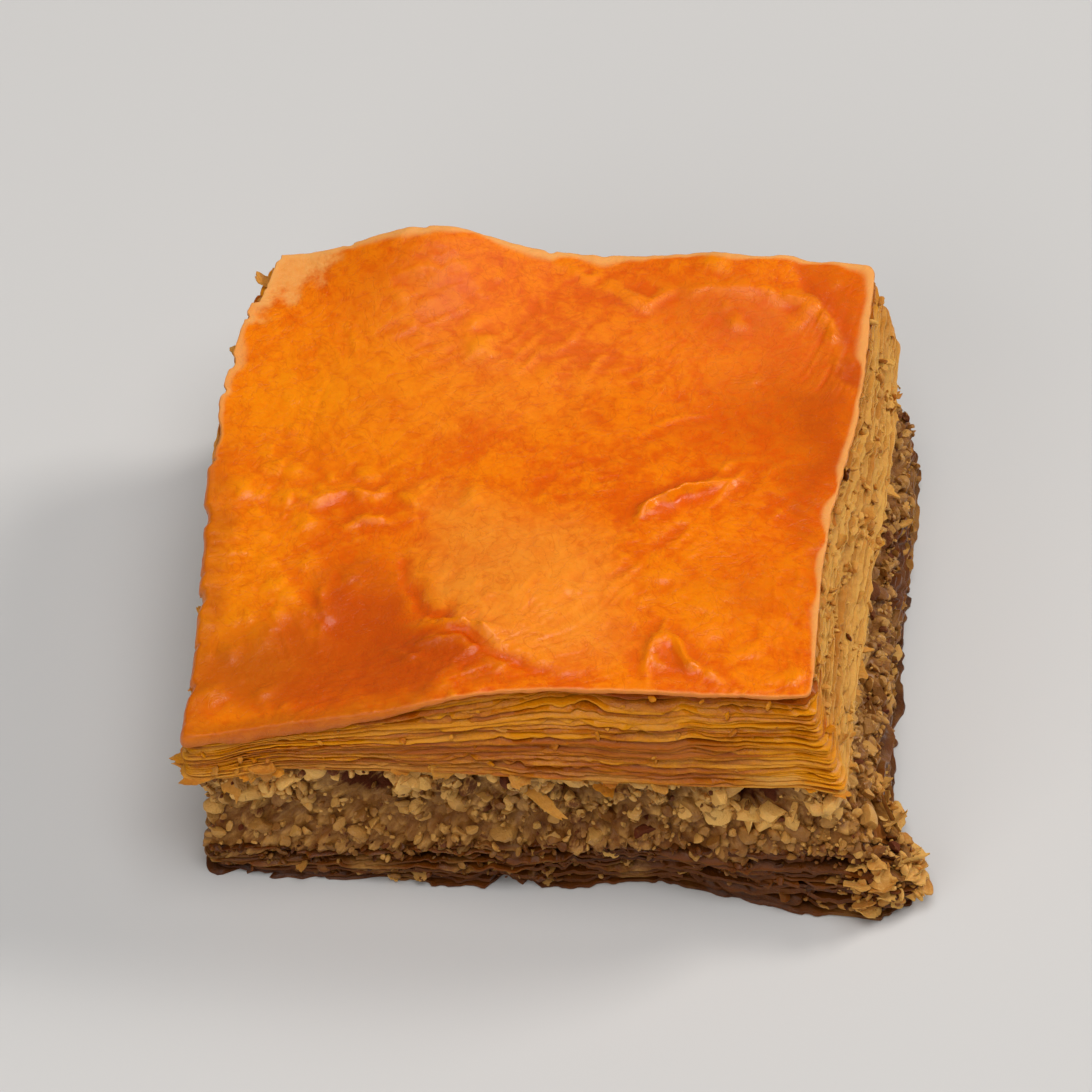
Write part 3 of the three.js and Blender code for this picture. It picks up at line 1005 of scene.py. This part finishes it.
def makeNutBits(name, material, clusters, seed, count, spilt, smallest, largest, level, spacing, sink):
    random = np.random.default_rng(seed)
    centres, sizes = scatterOnNuts(random, count, smallest, largest, spacing, sink)
    centres += [spiltPlace(random) for _ in range(spilt)]
    sizes += list(random.uniform(smallest, (smallest + largest) / 2, spilt))
    palePlaces, paleSizes = clusterBits(random, clusters)
    centres, sizes = np.array(centres + palePlaces), np.array(sizes + paleSizes)
    points, faces, each = brokenBits(random, level, centres, sizes, (1.0, 0.8, 0.62))
    tint = random.uniform(0, 1, len(sizes)) ** 0.8
    skinAndShade = (random.uniform(0, 1, len(sizes)) < 0.14) * random.uniform(0.3, 0.9, len(sizes))
    pale = np.arange(len(sizes)) >= len(sizes) - len(paleSizes)
    print(name + ":", len(sizes), "bits")
    attributes = dict(
        tint=np.repeat(np.where(pale, 0.74 + 0.3 * tint, 0.95 * tint), each),
        skinAndShade=np.repeat(np.where(pale, 0, skinAndShade), each),
        low=np.repeat(np.where(pale, 0, lowness(*centres.T)), each))
    return makePiece(name, points, [faces], material, attributes, sharp=35)


def nutPaint():
    paint = Paint("chopped_nuts")
    where = paint.place()
    broad = paint.speckle(where, 0.5, 3)
    mottle = paint.speckle(where, 2.2, 4, 0.62)
    grain = paint.speckle(where, 7.0, 3, 0.6)
    low = paint.attribute("low")
    tone = paint.step(0.5 * paint.attribute("tint") + 0.22 * mottle + 0.42 * broad - 0.07 * low, 0.16, 0.84)
    base = paint.blend(tone, colour(114, 60, 6), colour(242, 184, 96))
    base = paint.blend(low * (0.1 + 0.5 * mottle), base, colour(146, 84, 12))
    # the dark colour is real nut skin on some bits, and painted shade in the hollows of the core
    skinAndShade = paint.step(paint.attribute("skinAndShade") + (mottle - 0.5) * 0.9, 0.4, 0.75)
    base = paint.blend(skinAndShade * 0.92, base, colour(92, 32, 4))
    paint.set(
        BaseColor=base,
        Roughness=0.55 - 0.2 * broad + 0.3 * skinAndShade,
        CoatWeight=0.25 * broad * (1 - skinAndShade),
        CoatRoughness=0.2,
        SpecularIORLevel=0.26,
        SubsurfaceWeight=0.12,
        SubsurfaceScale=0.6 * mm,
        SubsurfaceRadius=(1.0, 0.6, 0.25),
        Normal=paint.bump(grain * 0.6 + mottle * 0.4, 0.2),
    )
    return paint.material


crumbs = dict(
    # how many, how they are shared out among the sides, from where to where up the layer, and their syrup
    upper=dict(count=380, sides=(0.1, 0.5, 0.2, 0.2), share=(0.02, 0.93), soak=(0.7, 0.15, 0.3, 0.5)),
    foot=dict(count=560, sides=(0.62, 0.2, 0.09, 0.09), share=(0.15, 1.08), soak=(0.8, 0.45, 0.4, 0.5)),
    ledge=dict(count=170, soak=(0.1, 0.9)),
    tongue=dict(count=180, soak=(0.0, 0.3)),
    burnt=[(1.564, 0.9, 1.2), (1.578, 0.87, 0.7), (1.27, 0.3, 0.9)],  # turn, share of the height and size
)


def wallPlace(layer, turn, share, sink):
    floor, roof = layer.span(turn)
    return standAt(turn, layer.reach(share, turn) - sink, floor + share * (roof - floor))


def wallCrumbs(random, layer, count, sides, share, soak):  # place, size and syrup of each one
    made = []
    for _ in range(count):
        side = random.choice(4, p=sides)
        turn = side + random.uniform(0, 1)
        place = wallPlace(layer, turn, random.uniform(*share), random.uniform(0.0, 0.5))
        made.append((place, 0.35 + 0.9 * random.uniform() ** 2, soak[side] + random.uniform(-0.25, 0.25)))
    return made


def ledgeCrumbs(random, count, soak):
    made = []
    for _ in range(count):
        place = ledgePlace(random, spillTurn(random))
        made.append((place, random.uniform(0.4, 1.3), random.uniform(*soak)))
    return made


def tongueCrumbs(random, count, soak):
    made = []
    for _ in range(count):
        turn, share = random.uniform(0.94, 1.2), random.uniform(0.1, 1.0)
        place = wallPlace(footLayer, turn, share, random.uniform(-0.1, 2.0))
        made.append((place, random.uniform(0.5, 1.5), random.uniform(*soak)))
    return made


def darkSpotCrumbs():
    return [(wallPlace(topLayer, turn, share, 0.0), size, 2.0) for turn, share, size in crumbs["burnt"]]


def makePastryCrumbs(name, material, random, made):
    centres, sizes, soak = (np.array(values) for values in zip(*made))
    points, faces, each = brokenBits(random, 2, centres, sizes, (1.0, 0.75, 0.42), 5)
    tint = random.uniform(0.1, 1, len(sizes))
    tip = np.where(soak > 1.5, 0.0, 1.0)  # the dark ones take the colour that a leaf has deep in the stack, the painted shade between the leaves
    attributes = dict(tint=np.repeat(tint, each), soak=np.repeat(soak, each), tip=np.repeat(tip, each))
    return makePiece(name, points, [faces], material, attributes, sharp=40)


flakes = dict(
    cells=(7, 6),
    thickness=0.13,
    # where they gather round the piece and up a layer, how many, how long, how they hang, and their syrup
    upper=[
        dict(turns=(0.02, 0.98), share=(0, 0.05), count=24, length=(0.6, 1.4), hang=(-1.3, -0.4), soak=0.45),
        dict(turns=(3.93, 4.1), share=(0.0, 0.3), count=14, length=(0.8, 1.7), hang=(-1.2, -0.2), soak=0.45),
        dict(turns=(1.02, 1.98), share=(0.05, 0.9), count=52, length=(0.5, 1.1), hang=(-0.4, 0.4),
             soak=0.12),
        dict(turns=(1.0, 2.0), share=(0.0, 0.05), count=22, length=(0.7, 1.4), hang=(-1.0, -0.2), soak=0.2),
        dict(turns=(2.02, 3.95), share=(0.0, 0.85), count=50, length=(0.6, 1.3), hang=(-0.6, 0.3), soak=0.4),
    ],
    foot=[
        dict(turns=(0.95, 1.18), share=(0.2, 1.0), count=44, length=(0.7, 1.6), hang=(-0.1, 0.5), soak=0.05),
        dict(turns=(1.08, 1.95), share=(0.2, 1.0), count=28, length=(0.6, 1.2), hang=(-0.3, 0.4), soak=0.3),
        dict(turns=(0.05, 0.95), share=(0.1, 1.0), count=26, length=(0.5, 1.1), hang=(-0.3, 0.2), soak=0.4),
        dict(turns=(2.02, 3.95), share=(0.1, 1.0), count=30, length=(0.6, 1.1), hang=(-0.3, 0.3), soak=0.5),
    ],
    # place, outward, length, width, yaw, pitch, roll, curl and syrup of the ones that stand out
    named=[
        ((-25.2, -21.7, 12.0), (-0.6, -0.8), 2.2, 2.4, 0.0, -0.5, 0.2, 0.7, 0.45),
        ((-23.4, -21.7, 11.6), (-0.1, -1.0), 2.8, 1.8, 0.1, -1.35, 0.1, 0.3, 0.4),
        ((-2.6, -20.9, 12.3), (1.0, -0.25), 4.2, 1.2, 0.0, -0.75, 0.5, 0.3, 0.35),
        ((3.8, -20.9, 13.2), (0.6, -1.0), 2.0, 1.8, 0.2, -1.1, 0.0, 0.5, 0.6),
    ],
)


def flakeSheet(random, place, outward, length, width, yaw, pitch, roll, curl):
    # a torn bit of leaf that grows out of its place, bends by curl along its length, and is frayed
    along, across = flakes["cells"]
    s, t = np.meshgrid(np.linspace(0, 1, along + 1), np.linspace(-1, 1, across + 1), indexing="ij")
    seed = random.uniform(0, 900)
    frayed = s * (1 + (0.25 * noise(t * 1.4, 0 * t, seed) + 0.12 * noise(t * 4, 0 * t, seed)) * s)
    ragged = 0.35 * noise(s * 2.4, np.sign(t) * 3, seed + 9) + 0.12 * noise(s * 6, np.sign(t) * 3, seed + 9)
    half = width / 2 * (1 + ragged) * (1 - 0.5 * s ** 3)
    bendAt = curl * frayed
    ahead, lift = np.sin(bendAt) / curl * length, (1 - np.cos(bendAt)) / curl * length
    lift = lift + 0.1 * noise(s * 3, t * 2, seed + 20)
    sheet = np.stack([ahead, t * half, lift], -1).reshape(-1, 3)
    under = sheet - np.array([0, 0, flakes["thickness"]])
    heading = math.atan2(outward[1], outward[0]) + yaw
    turned = Matrix.Rotation(-pitch, 3, "Y") @ Matrix.Rotation(roll, 3, "X")
    turned = Matrix.Rotation(heading, 3, "Z") @ turned
    points = np.concatenate([sheet, under]) @ np.array(turned).T + place
    index = np.arange(s.size).reshape(s.shape)
    over = gridFaces(index[:-1].T, index[1:].T)
    loop = rimOf(index)
    return points, np.concatenate([over, over[:, ::-1] + index.size, bandFaces(loop, loop + index.size)])


def makeFlakes(name, material, seed, layer, groups, named=()):
    random = np.random.default_rng(seed)
    made = [(flakeSheet(random, np.array(shape[0]), *shape[1:-1]), shape[-1]) for shape in named]
    for group in groups:
        for _ in range(group["count"]):
            turn = random.uniform(*group["turns"]) % 4
            # the dark places at the front stay open to view
            if group["turns"][1] < 1 and hollowDepth(turn, 0.85, 8) > 0.5:
                continue
            place = wallPlace(layer, turn, random.uniform(*group["share"]), random.uniform(0.4, 0.8))
            length = random.uniform(*group["length"])
            width = length * random.uniform(0.7, 1.8)
            curl = random.choice([-1, 1]) * random.uniform(0.2, 1.1)
            yaw, roll = random.uniform(-0.7, 0.7), random.uniform(-0.5, 0.5)
            hang = random.uniform(*group["hang"])
            sheet = flakeSheet(random, place, bearing(turn), length, width, yaw, hang, roll, curl)
            made.append((sheet, group["soak"] + random.uniform(-0.25, 0.25)))
    each = len(made[0][0][0])
    points = np.concatenate([sheet for (sheet, _), _ in made])
    faces = [quads + n * each for n, ((_, quads), _) in enumerate(made)]
    # how far the flakes may reach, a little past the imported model
    reachX, reachY = cadBox[1][0] / mm + 1.1, cadBox[1][1] / mm + 0.9
    points = np.clip(points, (-reachX, -reachY, 0.03), (reachX, reachY, 99))
    tint = np.repeat(random.uniform(0.1, 0.9, len(made)), each)
    soak = np.clip(np.repeat([soak for _, soak in made], each), 0, 1)
    attributes = dict(tint=tint, soak=soak, tip=tint * 0 + 1)
    return makePiece(name, points, faces, material, attributes, sharp=50)


heart = dict(
    inner=2.3,  # mm behind the cut
    deeper=2.0,  # mm more behind the nuts, clear of their hollows
    base=0.15,  # mm above the floor
)


def makeHeart(material):  # closes what is behind the gaps between the leaves, in a dark colour that is partly the soaked inside and partly painted shade in the gaps
    inner, base = heart["inner"], heart["base"]
    roof = underCrust(2.6, 3.1, 3.6, 4.4) - 0.2
    rows = [
        (footLayer.reach(0.1) - inner, base),
        (footLayer.reach(0.9) - inner, footLayer.roof - 0.2),
        (nutLayer.reach(0.5) - inner - heart["deeper"], (footLayer.roof + topLayer.floor) / 2),
        (topLayer.reach(0.1) - inner, topLayer.floor + 0.2),
        (topLayer.reach(0.95) - inner - 0.3, roof),
    ]
    points = [standAt(turns, out, z) for out, z in rows]
    points.append([(0, 0, base), (0, 0, roof.min() - 1)])
    index = np.arange(len(rows) * len(turns)).reshape(len(rows), -1)
    onward = np.roll(index, -1, 1)
    under, over = np.full_like(index[0], index.size), np.full_like(index[0], index.size + 1)
    faces = [
        gridFaces(index, onward),
        np.stack([onward[0], index[0], under], -1),
        np.stack([index[-1], onward[-1], over], -1),
    ]
    return makePiece("heart", np.concatenate(points), faces, material)


def heartPaint():
    paint = Paint("soaked_shaded_heart")
    mottle = paint.speckle(paint.stretch(paint.place(), (0.6, 0.6, 4.0)), 0.8, 4)
    # dark amber: the soaked inside, darkened as painted shade in the gaps
    base = paint.blend(mottle, colour(92, 42, 4), colour(168, 96, 16))
    paint.set(BaseColor=base, Roughness=0.5, Normal=paint.bump(mottle, 0.2))
    return paint.material


crustPiece = makeCrust(crustPaint())
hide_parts("top_pastry")
print("crust: made")

tipRoof, insideRoof = underCrust(0.1, 0.6), underCrust(1.8, 2.2, 2.7, 3.2, 3.8, 4.4) - 0.05
upper = stackOfLeaves(topLayer, topLayer.floor - 0.18, tipRoof, insideRoof, **leaves["upper"])
upper["bendRoof"] = underCrust(0.9, 1.3, 1.7, 2.1) + 0 * upper["bendRoof"]
tuckUnderCrust(upper)
# golden at the front right, and darker low in the front
upper["tint"] += 0.6 * bell((turns - 0.92) / 0.08) * ease(0.8, 0.4, upper["up"])
upper["tint"] -= 0.7 * ease(0.05, 0.15, turns) * ease(0.85, 0.75, turns) * ease(0.55, 0.35, upper["up"])
upper["soak"] = upperSoaking(upper["up"])
# the first dry and wet colours, deep in, are painted shade between the leaves
upperPaint = leafPaint(
    "pastry_leaves",
    dry=(colour(144, 80, 16), colour(190, 124, 46), colour(222, 162, 78)),
    wet=(colour(100, 46, 0), colour(170, 84, 0), colour(226, 140, 6)),
    shine=0.1)
half = leaves["upper"]["count"] // 2
makeLeaves("leaves_below", upper, slice(half), upperPaint)
makeLeaves("leaves_above", upper, slice(half, None), upperPaint)
print("upper leaves: made")

nutMaterial = nutPaint()
corePiece = makeNutCore(nutMaterial)
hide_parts("nut_filling")
makeNutBits("nut_chunks", nutMaterial, nuts["clusters"], **nuts["chunks"])
makeNutBits("nut_crumbs", nutMaterial, [], **nuts["crumbs"])
print("nuts: made")

footRoof = footLayer.roof + 0.15
lower = stackOfLeaves(footLayer, 0.02, footRoof, footRoof, **leaves["lower"])
lower["soak"] = lowerSoakingAndShade(lower["up"])
# the foot's wet colours are dark syrup together with painted contact shade near the floor
lowerPaint = leafPaint(
    "soaked_shaded_leaves",
    dry=(colour(124, 68, 16), colour(178, 114, 40), colour(228, 172, 92)),
    wet=(colour(26, 10, 1), colour(58, 26, 4), colour(108, 56, 12)),
    shine=0.08)
lowerPiece = makeLeaves("leaves_foot", lower, slice(None), lowerPaint)
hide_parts("bottom_pastry")
makeHeart(heartPaint())
print("lower leaves: made")

crumbRandom = np.random.default_rng(33)
upperCrumbs = wallCrumbs(crumbRandom, topLayer, **crumbs["upper"]) + darkSpotCrumbs()
makePastryCrumbs("pastry_crumbs", upperPaint, crumbRandom, upperCrumbs)
footCrumbs = wallCrumbs(crumbRandom, footLayer, **crumbs["foot"])
footCrumbs += ledgeCrumbs(crumbRandom, **crumbs["ledge"])
footCrumbs += tongueCrumbs(crumbRandom, **crumbs["tongue"])
makePastryCrumbs("foot_crumbs", lowerPaint, crumbRandom, footCrumbs)
makeFlakes("loose_flakes", upperPaint, 44, topLayer, flakes["upper"], flakes["named"])
makeFlakes("foot_flakes", lowerPaint, 45, footLayer, flakes["foot"])
print("crumbs and flakes: made")


studio = dict(floor=1.6, sky=0.1, lights=[
    dict(name="key", place=(0.66, 0.36, 0.6), size=0.26, power=4.0, tint=(1.0, 0.96, 0.91)),
    dict(name="fill", place=(-0.45, -0.8, 0.6), size=0.8, power=3.6, tint=(1.0, 0.98, 0.95)),
    dict(name="above", place=(0.1, -0.2, 1.1), size=0.75, power=7.5, tint=(1.0, 1.0, 1.0)),
])


def makeStudio():
    scene = bpy.context.scene
    scene.view_settings.view_transform = "Standard"
    world = bpy.data.worlds.new("studio")
    scene.world = world
    world.use_nodes = True
    world.node_tree.nodes["Background"].inputs["Color"].default_value = (1.0, 1.0, 1.0, 1)
    world.node_tree.nodes["Background"].inputs["Strength"].default_value = studio["sky"]
    half = studio["floor"] / 2
    corners = [(-half, -half, 0), (half, -half, 0), (half, half, 0), (-half, half, 0)]
    mesh = bpy.data.meshes.new("floor")
    mesh.from_pydata(corners, [], [(0, 1, 2, 3)])
    paint = Paint("pale_floor")
    paint.set(BaseColor=(0.64, 0.63, 0.62), Roughness=0.7)
    mesh.materials.append(paint.material)
    floor = bpy.data.objects.new("floor", mesh)
    scene.collection.objects.link(floor)
    for light in studio["lights"]:
        lamp = bpy.data.lights.new(light["name"], "AREA")
        lamp.shape = "SQUARE"
        lamp.size = light["size"]
        lamp.energy = light["power"]
        lamp.color = light["tint"]
        made = bpy.data.objects.new(light["name"], lamp)
        made.location = light["place"]
        made.rotation_euler = (Vector((0, 0, 0.01)) - made.location).to_track_quat("-Z", "Y").to_euler()
        scene.collection.objects.link(made)


makeStudio()
print("studio: set")
